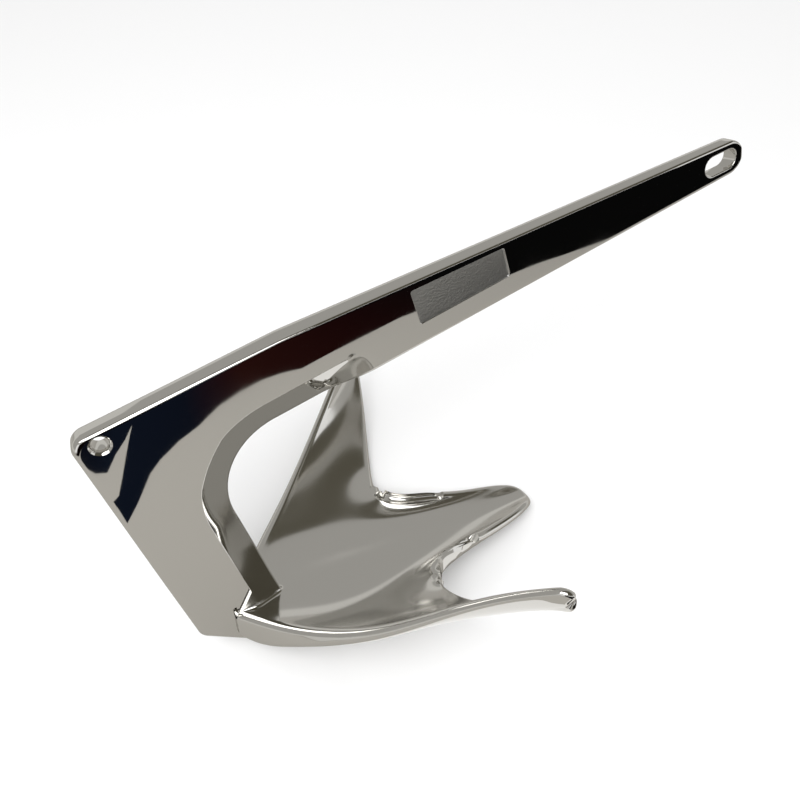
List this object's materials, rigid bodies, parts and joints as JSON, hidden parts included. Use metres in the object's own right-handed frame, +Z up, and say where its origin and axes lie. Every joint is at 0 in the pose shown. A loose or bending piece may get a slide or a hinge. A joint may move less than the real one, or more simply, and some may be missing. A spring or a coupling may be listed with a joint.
{
  "type": "claw anchor",
  "caption": "One-piece polished stainless claw anchor: bent shank with shackle slot and trip hole, dished claw with two upswept horns and a centre fluke, lying at rest.",
  "frame": {"origin": "centre of the bounding box at ground level, the anchor lying as it comes to rest on its crown, its centre fluke and one horn", "axes": "+X runs under the arm of the shank towards the shackle end, +Y towards the horn that touches the ground, +Z up from the ground"},
  "size_m": [0.4318, 0.2874, 0.2107],
  "materials": {
    "anchor": "mirror polished stainless steel"
  },
  "bodies": {
    "root": {"anchor": "anchor"}
  },
  "joints": []
}
